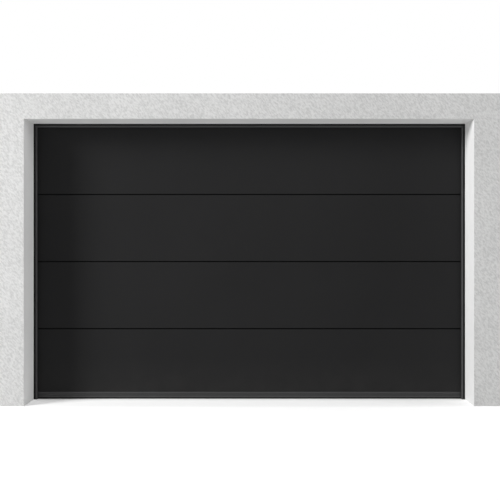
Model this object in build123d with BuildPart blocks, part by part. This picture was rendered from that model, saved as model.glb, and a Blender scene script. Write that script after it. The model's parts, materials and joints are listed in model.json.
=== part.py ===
from build123d import *
import os
from math import sqrt

os.makedirs("parts", exist_ok=True)

# Sectional garage door in its masonry opening, closed. Millimetres.
# X is to the right as seen from outside, Y goes into the garage, Z is up.
# The origin is on the floor, under the middle of the leaf's thickness.

# Masonry surround
opening_width = 3600
opening_height = 2300
wall_thickness = 250
pier_width = 240
lintel_height = 204

# Leaf: equal sections on a rubber seal, the top one a little taller
section_count = 4
section_thickness = 42
top_extra = 12.5
seal_height = 25
joint_gap = 6
edge_radius = 4
tongue_width = 12
tongue_height = 14
tongue_setback = 9
groove_clearance = 1
rib_width = 12
rib_depth = 1.2
cap_thickness = 1.5
cap_flange = 60
cap_margin = 4

# Bottom rail and its seal
rail_height = 47
rail_wall = 3
rail_rear_height = 33
rail_ridge = 5.5
rail_ridge_depth = 2.5
seal_show = 12
seal_width = 38
seal_wall = 3

# Frame of folded sheet behind the opening's edge
frame_setback = 25
frame_show = 27
frame_sheet = 2
frame_fold = 1.5
frame_bead_width = 10
frame_bead_height = 5
frame_return_gap = 5
post_reach = 82
post_depth = 110
post_hem = 16
head_reach = 30
head_overlap = 14.5
leaf_overlap = 20
gasket_width = 14
gasket_thickness = 4
lip_base = 10
lip_foot = 5
lip_thickness = 3

# Hinges, with their pins on the joint lines
hinge_sheet = 2.5
hinge_width = 60
hinge_reach = 62
hinge_pin_diameter = 8
hinge_pin_offset = 12
hinge_knuckle_wall = 2.5
hinge_knuckle = 18
hinge_spacing = 900
hinge_edge = 32
hinge_corner = 9
play = 0.2

# Rollers on their stems
roller_diameter = 46
roller_width = 18
roller_chamfer = 3
roller_setback = 35
stem_diameter = 11
stem_offset = 24
stem_length = 112
carrier_lift = 32
carrier_wall = 3
carrier_width = 50
bottom_roller_height = 100
top_roller_drop = 25
bracket_sheet = 3

# Tracks
track_sheet = 2
track_lip = 8
track_lip_gap = 5
track_play = 0.3
track_side_play = 3
track_bend = 300
track_foot = 30
horizontal_run = 2300
top_roller_offset = 114
track_bracket_height = 40
track_bracket_depth = 30
angle_leg = 50
angle_length = 1200
angle_start = 60

# Torsion shaft with its springs, drums and cables
shaft_diameter = 25.4
keyway_width = 6.4
keyway_depth = 3.2
shaft_offset = 60
shaft_rise = 125
shaft_end = 18
spring_outer = 67
spring_wire = 6
spring_length = 700
cone_hub_length = 50
cone_flange = 8
cone_flange_diameter = 76
cone_body_length = 42
cone_body_diameter = 60
winding_hole = 13
drum_wrap_radius = 51
drum_width = 40
drum_flange = 4
drum_flange_radius = 58
drum_hub_radius = 22
drum_hub_length = 20
drum_rim = 6
drum_groove = 4.6
drum_groove_pitch = 6
drum_grooves = 4
cable_diameter = 4
cable_side_gap = 10
stud_diameter = 10
stud_length = 14
stud_height = 75
bearing_plate = 3
bearing_plate_height = 150
bearing_plate_foot = 50
bearing_nose = 45
bearing_diameter = 40
bearing_width = 12
centre_plate = 5
centre_foot = 70

# Rear suspension
hanger_leg = 30
hanger_sheet = 2
hanger_setback = 75
hanger_plate = 3
hanger_plate_length = 110
hanger_plate_width = 50
hanger_hole = 9
hanger_hole_spacing = 80
crossbar_width = 40
crossbar_height = 30
crossbar_setback = 25
buffer_diameter = 22
buffer_length = 30
end_plate = 3

# Planes and lines that the pieces share
opening_half = opening_width / 2
wall_top = opening_height + lintel_height
leaf_out = -section_thickness / 2
leaf_in = section_thickness / 2
wall_in = leaf_out - frame_setback
wall_middle = wall_in - wall_thickness / 2
lip_half = opening_half - frame_show
leaf_half = lip_half + leaf_overlap
section_half = leaf_half - cap_thickness
head_underside = opening_height - frame_show
leaf_top = head_underside + head_overlap
section_pitch = (leaf_top - top_extra - seal_height) / section_count
section_feet = [seal_height + n * section_pitch for n in range(section_count)]
joint_heights = section_feet[1:]
hinge_pin_y = leaf_in + hinge_pin_offset
roller_y = leaf_in + stem_offset
shaft_y = leaf_in + shaft_offset
shaft_z = leaf_top + shaft_rise
post_outer = opening_half + post_reach
post_top = opening_height + head_reach

# Masonry: two piers and the lintel that lies on them
with BuildPart() as right_pier:
    with BuildSketch():
        with Locations((opening_half + pier_width / 2, wall_middle)):
            Rectangle(pier_width, wall_thickness)
    extrude(amount=opening_height)
right_pier.part.label = "right_pier"
export_step(right_pier.part, "parts/right_pier.step")

with BuildPart() as left_pier:
    mirror(right_pier.part, about=Plane.YZ)
left_pier.part.label = "left_pier"
export_step(left_pier.part, "parts/left_pier.step")

with BuildPart() as lintel:
    with BuildSketch(Plane.XY.offset(opening_height)):
        with Locations((0, wall_middle)):
            Rectangle(opening_width + 2 * pier_width, wall_thickness)
    extrude(amount=lintel_height)
lintel.part.label = "lintel"
export_step(lintel.part, "parts/lintel.step")

# Frame posts: one folded sheet, with a raised bead and a return beside the leaf
flange_y = wall_in + frame_sheet / 2
bead_y = flange_y - frame_bead_height
return_end = leaf_out - frame_return_gap
lip_middle = lip_half + frame_sheet / 2
bead_middle = lip_half + frame_bead_width - frame_sheet / 2
web_middle = post_outer - frame_sheet / 2
web_end = wall_in + post_depth
head_half = lip_half + frame_bead_width + frame_sheet

with BuildPart() as frame_post_right:
    with BuildSketch():
        with BuildLine():
            FilletPolyline(
                (lip_middle, return_end),
                (lip_middle, bead_y),
                (bead_middle, bead_y),
                (bead_middle, flange_y),
                (web_middle, flange_y),
                (web_middle, web_end),
                (post_outer - post_hem, web_end),
                radius=frame_fold,
            )
        trace(line_width=frame_sheet)
    extrude(amount=post_top)
    # The head fits into a notch above the opening's edge
    with BuildSketch(Plane.XY.offset(head_underside)):
        with Locations((head_half, return_end)):
            Rectangle(
                2 * frame_bead_width + 2 * frame_sheet,
                2 * (return_end - bead_y + frame_sheet),
                align=(Align.MAX, Align.CENTER),
            )
    extrude(amount=post_top - head_underside, mode=Mode.SUBTRACT)
frame_post_right.part.label = "frame_post_right"
export_step(frame_post_right.part, "parts/frame_post_right.step")

with BuildPart() as frame_post_left:
    mirror(frame_post_right.part, about=Plane.YZ)
frame_post_left.part.label = "frame_post_left"
export_step(frame_post_left.part, "parts/frame_post_left.step")

with BuildPart() as frame_head:
    with BuildSketch(Plane.YZ):
        with BuildLine():
            FilletPolyline(
                (return_end, head_underside + frame_sheet / 2),
                (bead_y, head_underside + frame_sheet / 2),
                (bead_y, head_underside + frame_bead_width - frame_sheet / 2),
                (flange_y, head_underside + frame_bead_width - frame_sheet / 2),
                (flange_y, post_top),
                radius=frame_fold,
            )
        trace(line_width=frame_sheet)
    extrude(amount=head_half, both=True)
frame_head.part.label = "frame_head"
export_step(frame_head.part, "parts/frame_head.step")

# Gasket between the frame and the masonry, round three sides
with BuildPart() as opening_gasket:
    with BuildSketch(Plane.XZ.offset(-wall_in)):
        Rectangle(opening_width, opening_height, align=(Align.CENTER, Align.MIN))
        Rectangle(
            opening_width - 2 * gasket_width,
            opening_height - gasket_width,
            align=(Align.CENTER, Align.MIN),
            mode=Mode.SUBTRACT,
        )
    extrude(amount=gasket_thickness)
opening_gasket.part.label = "opening_gasket"
export_step(opening_gasket.part, "parts/opening_gasket.step")

# Rubber lips between the frame and the leaf's face
lip_depth = leaf_out - wall_in - frame_sheet
with BuildSketch() as lip_profile:
    with Locations((0, 0)):
        Rectangle(lip_base, lip_foot, align=(Align.MIN, Align.MIN))
    with Locations((lip_base / 2, 0)):
        Rectangle(lip_thickness, lip_depth, align=(Align.CENTER, Align.MIN))

with BuildPart() as side_lips:
    with BuildSketch(Plane((lip_half + frame_sheet, wall_in + frame_sheet, 0))):
        add(lip_profile.sketch)
    extrude(amount=head_underside)
    mirror(about=Plane.YZ)
side_lips.part.label = "side_lips"
export_step(side_lips.part, "parts/side_lips.step")

with BuildPart() as head_lip:
    with BuildSketch(
        Plane(
            (-leaf_half, wall_in + frame_sheet, head_underside + frame_sheet),
            x_dir=(0, 0, 1),
            z_dir=(1, 0, 0),
        )
    ):
        mirror(lip_profile.sketch, about=Plane.XZ)
    extrude(amount=2 * leaf_half)
head_lip.part.label = "head_lip"
export_step(head_lip.part, "parts/head_lip.step")

# Section profiles, drawn with the foot at zero: thickness across, height up
tongue_middle = -tongue_setback + tongue_width / 2
tongue_root = tongue_height - tongue_width / 2
shoulder = section_thickness / 2 - tongue_setback - groove_clearance

with BuildSketch() as rib_profile:
    with Locations(*[(leaf_in, section_pitch * n / 4) for n in (1, 2, 3)]):
        Rectangle(2 * rib_depth, rib_width)

with BuildSketch() as plain_profile:
    Rectangle(section_thickness, section_pitch, align=(Align.CENTER, Align.MIN))
    add(rib_profile.sketch, mode=Mode.SUBTRACT)

with BuildSketch() as tongue_profile:
    with Locations((tongue_middle, section_pitch)):
        Rectangle(tongue_width, tongue_root, align=(Align.CENTER, Align.MIN))
    with Locations((tongue_middle, section_pitch + tongue_root)):
        Circle(tongue_width / 2)

with BuildSketch() as groove_profile:
    with Locations((tongue_middle, 0)):
        Rectangle(
            tongue_width + 2 * groove_clearance,
            tongue_root,
            align=(Align.CENTER, Align.MIN),
        )
    with Locations((tongue_middle, tongue_root)):
        Circle(tongue_width / 2 + groove_clearance)

with BuildSketch() as upper_shoulder:
    with Locations((leaf_out, section_pitch)):
        Rectangle(shoulder, joint_gap / 2, align=(Align.MIN, Align.MAX))

with BuildSketch() as lower_shoulder:
    with Locations((leaf_out, 0)):
        Rectangle(shoulder, joint_gap / 2, align=(Align.MIN, Align.MIN))

with BuildSketch() as bottom_profile:
    add(plain_profile.sketch)
    add(upper_shoulder.sketch, mode=Mode.SUBTRACT)
    add(tongue_profile.sketch)
    fillet(vertices().group_by(Axis.X)[0].sort_by(Axis.Y)[-1], edge_radius)

with BuildSketch() as middle_profile:
    add(plain_profile.sketch)
    add(upper_shoulder.sketch, mode=Mode.SUBTRACT)
    add(lower_shoulder.sketch, mode=Mode.SUBTRACT)
    add(tongue_profile.sketch)
    add(groove_profile.sketch, mode=Mode.SUBTRACT)
    fillet(vertices().group_by(Axis.X)[0], edge_radius)

with BuildSketch() as top_profile:
    Rectangle(
        section_thickness, section_pitch + top_extra, align=(Align.CENTER, Align.MIN)
    )
    add(rib_profile.sketch, mode=Mode.SUBTRACT)
    add(lower_shoulder.sketch, mode=Mode.SUBTRACT)
    add(groove_profile.sketch, mode=Mode.SUBTRACT)
    fillet(vertices().group_by(Axis.X)[0], edge_radius)

section_planes = [
    Plane((-section_half, 0, foot), x_dir=(0, 1, 0), z_dir=(1, 0, 0))
    for foot in section_feet
]

with BuildPart() as bottom_section:
    with BuildSketch(section_planes[0]):
        add(bottom_profile.sketch)
    extrude(amount=2 * section_half)
bottom_section.part.label = "bottom_section"
export_step(bottom_section.part, "parts/bottom_section.step")

with BuildPart() as lower_middle_section:
    with BuildSketch(section_planes[1]):
        add(middle_profile.sketch)
    extrude(amount=2 * section_half)
lower_middle_section.part.label = "lower_middle_section"
export_step(lower_middle_section.part, "parts/lower_middle_section.step")

with BuildPart() as upper_middle_section:
    with BuildSketch(section_planes[2]):
        add(middle_profile.sketch)
    extrude(amount=2 * section_half)
upper_middle_section.part.label = "upper_middle_section"
export_step(upper_middle_section.part, "parts/upper_middle_section.step")

with BuildPart() as top_section:
    with BuildSketch(section_planes[3]):
        add(top_profile.sketch)
    extrude(amount=2 * section_half)
top_section.part.label = "top_section"
export_step(top_section.part, "parts/top_section.step")

# Sheet caps over the sections' ends, with a flange on the inner face
cap_face = leaf_in + cap_thickness
with BuildSketch() as cap_profile:
    with Locations((leaf_half, cap_face)):
        Rectangle(
            cap_thickness,
            section_thickness + cap_thickness - edge_radius,
            align=(Align.MAX, Align.MAX),
        )
        Rectangle(cap_flange, cap_thickness, align=(Align.MAX, Align.MAX))

with BuildPart() as end_caps:
    with BuildSketch(
        *[Plane.XY.offset(foot + cap_margin) for foot in section_feet[:-1]]
    ):
        add(cap_profile.sketch)
    extrude(amount=section_pitch - 2 * cap_margin)
    with BuildSketch(Plane.XY.offset(section_feet[-1] + cap_margin)):
        add(cap_profile.sketch)
    extrude(amount=section_pitch + top_extra - 2 * cap_margin)
    mirror(about=Plane.YZ)
end_caps.part.label = "end_caps"
export_step(end_caps.part, "parts/end_caps.step")

# Bottom rail: a front wall with two ridges between the posts, a bed for the seal
# over the leaf's whole width, and a rear wall between the caps
rail_foot = seal_show
rail_top = rail_foot + rail_height
rail_front_half = lip_half - frame_fold
with BuildPart() as bottom_rail:
    with BuildSketch(Plane.YZ):
        with Locations((leaf_out, rail_foot)):
            Rectangle(rail_wall, rail_height, align=(Align.MAX, Align.MIN))
        with Locations(
            (leaf_out - rail_wall, rail_foot + rail_ridge),
            (leaf_out - rail_wall, rail_top - rail_ridge),
        ):
            Ellipse(rail_ridge_depth, rail_ridge)
    extrude(amount=rail_front_half, both=True)
    with BuildSketch(Plane.YZ):
        with Locations((0, seal_height)):
            Rectangle(section_thickness, rail_wall, align=(Align.CENTER, Align.MAX))
        with Locations((leaf_out, rail_foot)):
            Rectangle(
                rail_wall,
                seal_height - rail_foot,
                align=(Align.MIN, Align.MIN),
            )
    extrude(amount=leaf_half, both=True)
    with BuildSketch(Plane.YZ):
        with Locations((leaf_in, rail_foot)):
            Rectangle(rail_wall, rail_rear_height, align=(Align.MIN, Align.MIN))
    extrude(amount=leaf_half - cap_flange, both=True)
bottom_rail.part.label = "bottom_rail"
export_step(bottom_rail.part, "parts/bottom_rail.step")

# Hollow floor seal: its upper half sits in the rail
with BuildPart() as bottom_seal:
    with BuildSketch(Plane.YZ):
        Rectangle(
            seal_width - 2 * rail_wall,
            seal_height - rail_wall,
            align=(Align.CENTER, Align.MIN),
        )
        fillet(vertices().group_by(Axis.Y)[0], edge_radius)
        with Locations((0, (seal_height - rail_wall) / 2)):
            SlotOverall(
                seal_width - 2 * rail_wall - 2 * seal_wall,
                seal_height - rail_wall - 2 * seal_wall,
                mode=Mode.SUBTRACT,
            )
    extrude(amount=leaf_half, both=True)
bottom_seal.part.label = "bottom_seal"
export_step(bottom_seal.part, "parts/bottom_seal.step")

# Hinges on the joint lines. Drawn at the origin, pin across at zero height.
knuckle_radius = hinge_pin_diameter / 2 + hinge_knuckle_wall
knuckle_bore = hinge_pin_diameter / 2 + play
centre_columns = [-hinge_spacing, 0, hinge_spacing]
side_column = leaf_half - hinge_edge
hinge_columns = [-side_column, *centre_columns, side_column]
outer_knuckle = (hinge_width - hinge_knuckle) / 2 - play

with BuildSketch() as hinge_plate_profile:
    with Locations((leaf_in, -hinge_reach)):
        Rectangle(
            hinge_sheet, hinge_reach - knuckle_radius, align=(Align.MIN, Align.MIN)
        )

with BuildSketch() as hinge_neck_profile:
    with BuildLine():
        Polyline(
            (leaf_in + hinge_sheet / 2, -hinge_reach / 2),
            (leaf_in + hinge_sheet / 2, -2 * knuckle_radius),
            (hinge_pin_y, -knuckle_radius + hinge_sheet / 2),
        )
    trace(line_width=hinge_sheet)
    with Locations((hinge_pin_y, 0)):
        Circle(knuckle_radius)
        Circle(knuckle_bore, mode=Mode.SUBTRACT)

with BuildPart() as lower_leaf:
    with BuildSketch(Plane.YZ):
        add(hinge_plate_profile.sketch)
    extrude(amount=hinge_width / 2, both=True)
    chamfer(edges().filter_by(Axis.Y).group_by(Axis.Z)[0], hinge_corner)
    with BuildSketch(Plane.YZ.offset(-hinge_width / 2)):
        add(hinge_neck_profile.sketch)
    extrude(amount=outer_knuckle)
    with BuildSketch(Plane.YZ.offset(hinge_width / 2 - outer_knuckle)):
        add(hinge_neck_profile.sketch)
    extrude(amount=outer_knuckle)

with BuildPart() as upper_leaf:
    with BuildSketch(Plane.YZ):
        mirror(hinge_plate_profile.sketch, about=Plane.XZ)
    extrude(amount=hinge_width / 2, both=True)
    chamfer(edges().filter_by(Axis.Y).group_by(Axis.Z)[-1], hinge_corner)
    with BuildSketch(Plane.YZ):
        mirror(hinge_neck_profile.sketch, about=Plane.XZ)
    extrude(amount=hinge_knuckle / 2, both=True)

with BuildPart() as hinge_lower_leaves:
    with Locations(*[(x, 0, z) for x in centre_columns for z in joint_heights]):
        add(lower_leaf.part)
    with Locations(
        *[(x, cap_thickness, z) for x in (-side_column, side_column) for z in joint_heights]
    ):
        add(lower_leaf.part)
hinge_lower_leaves.part.label = "hinge_lower_leaves"
export_step(hinge_lower_leaves.part, "parts/hinge_lower_leaves.step")

with BuildPart() as hinge_upper_leaves:
    with Locations(*[(x, 0, z) for x in centre_columns for z in joint_heights]):
        add(upper_leaf.part)
    with Locations(
        *[(x, cap_thickness, z) for x in (-side_column, side_column) for z in joint_heights]
    ):
        add(upper_leaf.part)
hinge_upper_leaves.part.label = "hinge_upper_leaves"
export_step(hinge_upper_leaves.part, "parts/hinge_upper_leaves.step")

with BuildPart() as hinge_pins:
    with Locations(*[(x, hinge_pin_y, z) for x in centre_columns for z in joint_heights]):
        Cylinder(hinge_pin_diameter / 2, hinge_width, rotation=(0, 90, 0))
    with Locations(
        *[
            (x, hinge_pin_y + cap_thickness, z)
            for x in (-side_column, side_column)
            for z in joint_heights
        ]
    ):
        Cylinder(hinge_pin_diameter / 2, hinge_width, rotation=(0, 90, 0))
hinge_pins.part.label = "hinge_pins"
export_step(hinge_pins.part, "parts/hinge_pins.step")

# Track cross section: an open channel round the rollers' path
wheel_x = leaf_half + roller_setback
track_inner = wheel_x - roller_width / 2 - track_lip_gap
web_x = wheel_x + roller_width / 2 + track_side_play + track_sheet / 2
track_outer = web_x + track_sheet / 2
flange_offset = roller_diameter / 2 + track_play + track_sheet / 2
channel_half = flange_offset + track_sheet / 2
with BuildSketch() as track_profile:
    with Locations((track_outer, 0)):
        Rectangle(
            track_outer - track_inner + track_sheet,
            2 * channel_half,
            align=(Align.MAX, Align.CENTER),
        )
    with Locations((track_outer - track_sheet, 0)):
        Rectangle(
            track_outer - track_inner - track_sheet,
            2 * (channel_half - track_sheet),
            align=(Align.MAX, Align.CENTER),
            mode=Mode.SUBTRACT,
        )
    with Locations((track_inner, 0)):
        Rectangle(
            2 * track_sheet,
            2 * (flange_offset - track_lip),
            mode=Mode.SUBTRACT,
        )

# The top roller runs on the bend, so the bend's foot follows from its place
bend_y = roller_y + track_bend
top_roller_z = leaf_top - top_roller_drop
top_roller_y = leaf_in + top_roller_offset
bend_z = top_roller_z - sqrt(track_bend**2 - (bend_y - top_roller_y) ** 2)
run_z = bend_z + track_bend
run_end = bend_y + horizontal_run

with BuildPart() as vertical_track_right:
    with BuildSketch(Plane((0, roller_y, track_foot))):
        add(track_profile.sketch)
    extrude(amount=bend_z - track_foot)
vertical_track_right.part.label = "vertical_track_right"
export_step(vertical_track_right.part, "parts/vertical_track_right.step")

with BuildPart() as vertical_track_left:
    mirror(vertical_track_right.part, about=Plane.YZ)
vertical_track_left.part.label = "vertical_track_left"
export_step(vertical_track_left.part, "parts/vertical_track_left.step")

with BuildPart() as curved_track_right:
    with BuildSketch(Plane((0, roller_y, bend_z))):
        add(track_profile.sketch)
    revolve(axis=Axis((0, bend_y, bend_z), (-1, 0, 0)), revolution_arc=90)
curved_track_right.part.label = "curved_track_right"
export_step(curved_track_right.part, "parts/curved_track_right.step")

with BuildPart() as curved_track_left:
    mirror(curved_track_right.part, about=Plane.YZ)
curved_track_left.part.label = "curved_track_left"
export_step(curved_track_left.part, "parts/curved_track_left.step")

with BuildPart() as horizontal_track_right:
    with BuildSketch(Plane((0, bend_y, run_z), x_dir=(1, 0, 0), z_dir=(0, 1, 0))):
        add(track_profile.sketch)
    extrude(amount=horizontal_run)
    with BuildSketch(Plane((0, run_end, run_z), x_dir=(1, 0, 0), z_dir=(0, 1, 0))):
        with Locations((track_outer, 0)):
            Rectangle(
                track_outer - track_inner + track_sheet,
                2 * channel_half,
                align=(Align.MAX, Align.CENTER),
            )
    extrude(amount=end_plate)
horizontal_track_right.part.label = "horizontal_track_right"
export_step(horizontal_track_right.part, "parts/horizontal_track_right.step")

with BuildPart() as horizontal_track_left:
    mirror(horizontal_track_right.part, about=Plane.YZ)
horizontal_track_left.part.label = "horizontal_track_left"
export_step(horizontal_track_left.part, "parts/horizontal_track_left.step")

# Brackets that hold the vertical tracks to the posts' webs
post_web_in = post_outer - frame_sheet
bracket_heights = [
    track_foot + (bend_z - track_foot) * share for share in (0.08, 0.36, 0.67, 0.95)
]
with BuildPart() as track_brackets:
    with BuildSketch(*[Plane.XY.offset(z) for z in bracket_heights]):
        with BuildLine():
            Polyline(
                (track_outer + hinge_sheet / 2, roller_y - track_bracket_depth / 2),
                (track_outer + hinge_sheet / 2, roller_y + track_bracket_depth / 2),
                (post_web_in - hinge_sheet / 2, roller_y + track_bracket_depth / 2),
                (post_web_in - hinge_sheet / 2, roller_y - track_bracket_depth / 2),
            )
        trace(line_width=hinge_sheet)
    extrude(amount=track_bracket_height)
    mirror(about=Plane.YZ)
track_brackets.part.label = "track_brackets"
export_step(track_brackets.part, "parts/track_brackets.step")

# Angles that stiffen the front of the horizontal tracks
run_top = run_z + channel_half
with BuildPart() as track_angles:
    with BuildSketch(Plane.XZ.offset(-angle_start)):
        with Locations((track_outer, run_top)):
            Rectangle(track_sheet, angle_leg, align=(Align.MIN, Align.MAX))
            Rectangle(
                post_web_in - track_outer,
                track_sheet,
                align=(Align.MIN, Align.MAX),
            )
    extrude(amount=-angle_length)
    mirror(about=Plane.YZ)
track_angles.part.label = "track_angles"
export_step(track_angles.part, "parts/track_angles.step")

# Rollers: nylon wheels on steel stems
roller_places = [(x, roller_y, bottom_roller_height) for x in (-wheel_x, wheel_x)]
roller_places += [
    (x, roller_y, z + carrier_lift) for x in (-wheel_x, wheel_x) for z in joint_heights
]
roller_places += [(x, top_roller_y, top_roller_z) for x in (-wheel_x, wheel_x)]

with BuildPart() as wheel:
    with BuildSketch(Plane.XZ):
        with Locations((0, stem_diameter / 2 + play)):
            Rectangle(
                roller_width,
                (roller_diameter - stem_diameter) / 2 - play,
                align=(Align.CENTER, Align.MIN),
            )
        chamfer(vertices().group_by(Axis.Y)[-1], roller_chamfer)
    revolve(axis=Axis.X)

with BuildPart() as rollers:
    with Locations(*roller_places):
        add(wheel.part)
rollers.part.label = "rollers"
export_step(rollers.part, "parts/rollers.step")

stem_shift = wheel_x + roller_width / 2 - stem_length / 2
with BuildPart() as roller_stems:
    with Locations(
        *[(stem_shift if x > 0 else -stem_shift, y, z) for x, y, z in roller_places]
    ):
        Cylinder(stem_diameter / 2, stem_length, rotation=(0, 90, 0))
roller_stems.part.label = "roller_stems"
export_step(roller_stems.part, "parts/roller_stems.step")

# Carriers on the side hinges hold the stems
carrier_base = cap_face + hinge_sheet
carrier_radius = stem_diameter / 2 + play + carrier_wall
with BuildPart() as roller_carriers:
    with BuildSketch(
        *[Plane((side_column, 0, z), x_dir=(0, 1, 0), z_dir=(1, 0, 0)) for z in joint_heights]
    ):
        with Locations((carrier_base, carrier_lift)):
            Rectangle(
                roller_y - carrier_base,
                2 * carrier_radius,
                align=(Align.MIN, Align.CENTER),
            )
        with Locations((roller_y, carrier_lift)):
            Circle(carrier_radius)
            Circle(stem_diameter / 2 + play, mode=Mode.SUBTRACT)
    extrude(amount=carrier_width / 2, both=True)
    mirror(about=Plane.YZ)
roller_carriers.part.label = "roller_carriers"
export_step(roller_carriers.part, "parts/roller_carriers.step")

# Bottom brackets: carry the lowest rollers and the cables' studs
cable_radius = cable_diameter / 2
cable_x = leaf_half + cable_side_gap
cable_y = shaft_y - drum_wrap_radius
bracket_foot = rail_foot + rail_height + cap_margin
bracket_top = bottom_roller_height + 50
with BuildPart() as bottom_brackets:
    with BuildSketch(Plane.XY.offset(bracket_foot)):
        with Locations((leaf_half, cap_face)):
            Rectangle(cap_flange, bracket_sheet, align=(Align.MAX, Align.MIN))
        with Locations((leaf_half, leaf_out + edge_radius)):
            Rectangle(
                bracket_sheet,
                roller_y - leaf_out + edge_radius,
                align=(Align.MIN, Align.MIN),
            )
    extrude(amount=bracket_top - bracket_foot)
    with BuildSketch(Plane.YZ.offset(leaf_half - carrier_width)):
        with Locations((cap_face, bottom_roller_height)):
            Rectangle(
                roller_y - cap_face,
                2 * carrier_radius,
                align=(Align.MIN, Align.CENTER),
            )
        with Locations((roller_y, bottom_roller_height)):
            Circle(carrier_radius)
    extrude(amount=carrier_width + bracket_sheet)
    with BuildSketch(Plane.YZ.offset(leaf_half - carrier_width)):
        with Locations((roller_y, bottom_roller_height)):
            Circle(stem_diameter / 2 + play)
    extrude(amount=carrier_width + bracket_sheet, mode=Mode.SUBTRACT)
    with BuildSketch(Plane.YZ.offset(leaf_half + bracket_sheet)):
        with Locations((cable_y, stud_height)):
            Circle(stud_diameter / 2)
    extrude(amount=stud_length)
    mirror(about=Plane.YZ)
bottom_brackets.part.label = "bottom_brackets"
export_step(bottom_brackets.part, "parts/bottom_brackets.step")

# Top brackets reach back to the rollers on the bend
with BuildPart() as top_brackets:
    with BuildSketch(Plane.YZ.offset(side_column)):
        with BuildLine():
            Polyline(
                (cap_face + bracket_sheet / 2, top_roller_z - 2 * carrier_width),
                (cap_face + bracket_sheet / 2, top_roller_z - carrier_width / 2),
                (top_roller_y, top_roller_z),
            )
        trace(line_width=bracket_sheet)
        with Locations((top_roller_y, top_roller_z)):
            Circle(carrier_radius)
            Circle(stem_diameter / 2 + play, mode=Mode.SUBTRACT)
    extrude(amount=carrier_width / 2, both=True)
    mirror(about=Plane.YZ)
top_brackets.part.label = "top_brackets"
export_step(top_brackets.part, "parts/top_brackets.step")

# Torsion shaft over the leaf, in three bearings
shaft_half = post_outer + shaft_end
with BuildPart() as torsion_shaft:
    with BuildSketch(Plane.YZ):
        with Locations((shaft_y, shaft_z)):
            Circle(shaft_diameter / 2)
        with Locations((shaft_y, shaft_z + shaft_diameter / 2)):
            Rectangle(keyway_width, 2 * keyway_depth, mode=Mode.SUBTRACT)
    extrude(amount=shaft_half, both=True)
torsion_shaft.part.label = "torsion_shaft"
export_step(torsion_shaft.part, "parts/torsion_shaft.step")

shaft_bore = shaft_diameter / 2 + play
bearing_outer = bearing_diameter / 2
plate_x = post_web_in
bearing_places = [-plate_x - bearing_plate / 2, 0, plate_x + bearing_plate / 2]
with BuildPart() as shaft_bearings:
    with BuildSketch(*[Plane.YZ.offset(x) for x in bearing_places]):
        with Locations((shaft_y, shaft_z)):
            Circle(bearing_outer)
            Circle(shaft_bore, mode=Mode.SUBTRACT)
    extrude(amount=bearing_width / 2, both=True)
shaft_bearings.part.label = "shaft_bearings"
export_step(shaft_bearings.part, "parts/shaft_bearings.step")

with BuildSketch() as bearing_plate_profile:
    with Locations((wall_in, shaft_z)):
        Rectangle(bearing_plate, bearing_plate_height, align=(Align.MIN, Align.CENTER))
    with Locations((shaft_y, shaft_z)):
        Circle(bearing_nose)
    make_hull()
    with Locations((shaft_y, shaft_z)):
        Circle(bearing_outer + play, mode=Mode.SUBTRACT)

with BuildPart() as end_bearing_plates:
    with BuildSketch(Plane.YZ.offset(plate_x)):
        add(bearing_plate_profile.sketch)
    extrude(amount=bearing_plate)
    with BuildSketch(Plane.XZ.offset(-wall_in)):
        with Locations((plate_x, shaft_z)):
            Rectangle(
                bearing_plate_foot,
                bearing_plate_height,
                align=(Align.MIN, Align.CENTER),
            )
    extrude(amount=-bearing_plate)
    mirror(about=Plane.YZ)
end_bearing_plates.part.label = "end_bearing_plates"
export_step(end_bearing_plates.part, "parts/end_bearing_plates.step")

with BuildPart() as centre_bearing_plate:
    with BuildSketch(Plane.YZ):
        add(bearing_plate_profile.sketch)
    extrude(amount=centre_plate / 2, both=True)
    with BuildSketch(Plane.XZ.offset(-wall_in)):
        with Locations((0, shaft_z)):
            Rectangle(centre_foot, bearing_plate_height)
    extrude(amount=-centre_plate)
centre_bearing_plate.part.label = "centre_bearing_plate"
export_step(centre_bearing_plate.part, "parts/centre_bearing_plate.step")

# Cones: fixed to the centre plate, and wound on the shaft at the springs' ends
spring_inner_radius = spring_outer / 2 - spring_wire
hub_radius = spring_inner_radius - play
bearing_clear = bearing_width / 2 + play
spring_start = bearing_clear + cone_flange
spring_end = spring_start + spring_length
shaft_axis = Axis((0, shaft_y, shaft_z), (1, 0, 0))

with BuildPart() as stationary_cones:
    with BuildSketch(Plane.XY.offset(shaft_z)):
        with Locations((bearing_clear, shaft_y + shaft_bore)):
            Rectangle(
                cone_flange,
                cone_flange_diameter / 2 - shaft_bore,
                align=(Align.MIN, Align.MIN),
            )
            Rectangle(
                cone_flange + cone_hub_length,
                hub_radius - shaft_bore,
                align=(Align.MIN, Align.MIN),
            )
        with Locations((centre_plate / 2, shaft_y + bearing_outer + play)):
            Rectangle(
                bearing_clear,
                cone_flange_diameter / 2 - bearing_outer - play,
                align=(Align.MIN, Align.MIN),
            )
    revolve(axis=shaft_axis)
    mirror(about=Plane.YZ)
stationary_cones.part.label = "stationary_cones"
export_step(stationary_cones.part, "parts/stationary_cones.step")

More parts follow.
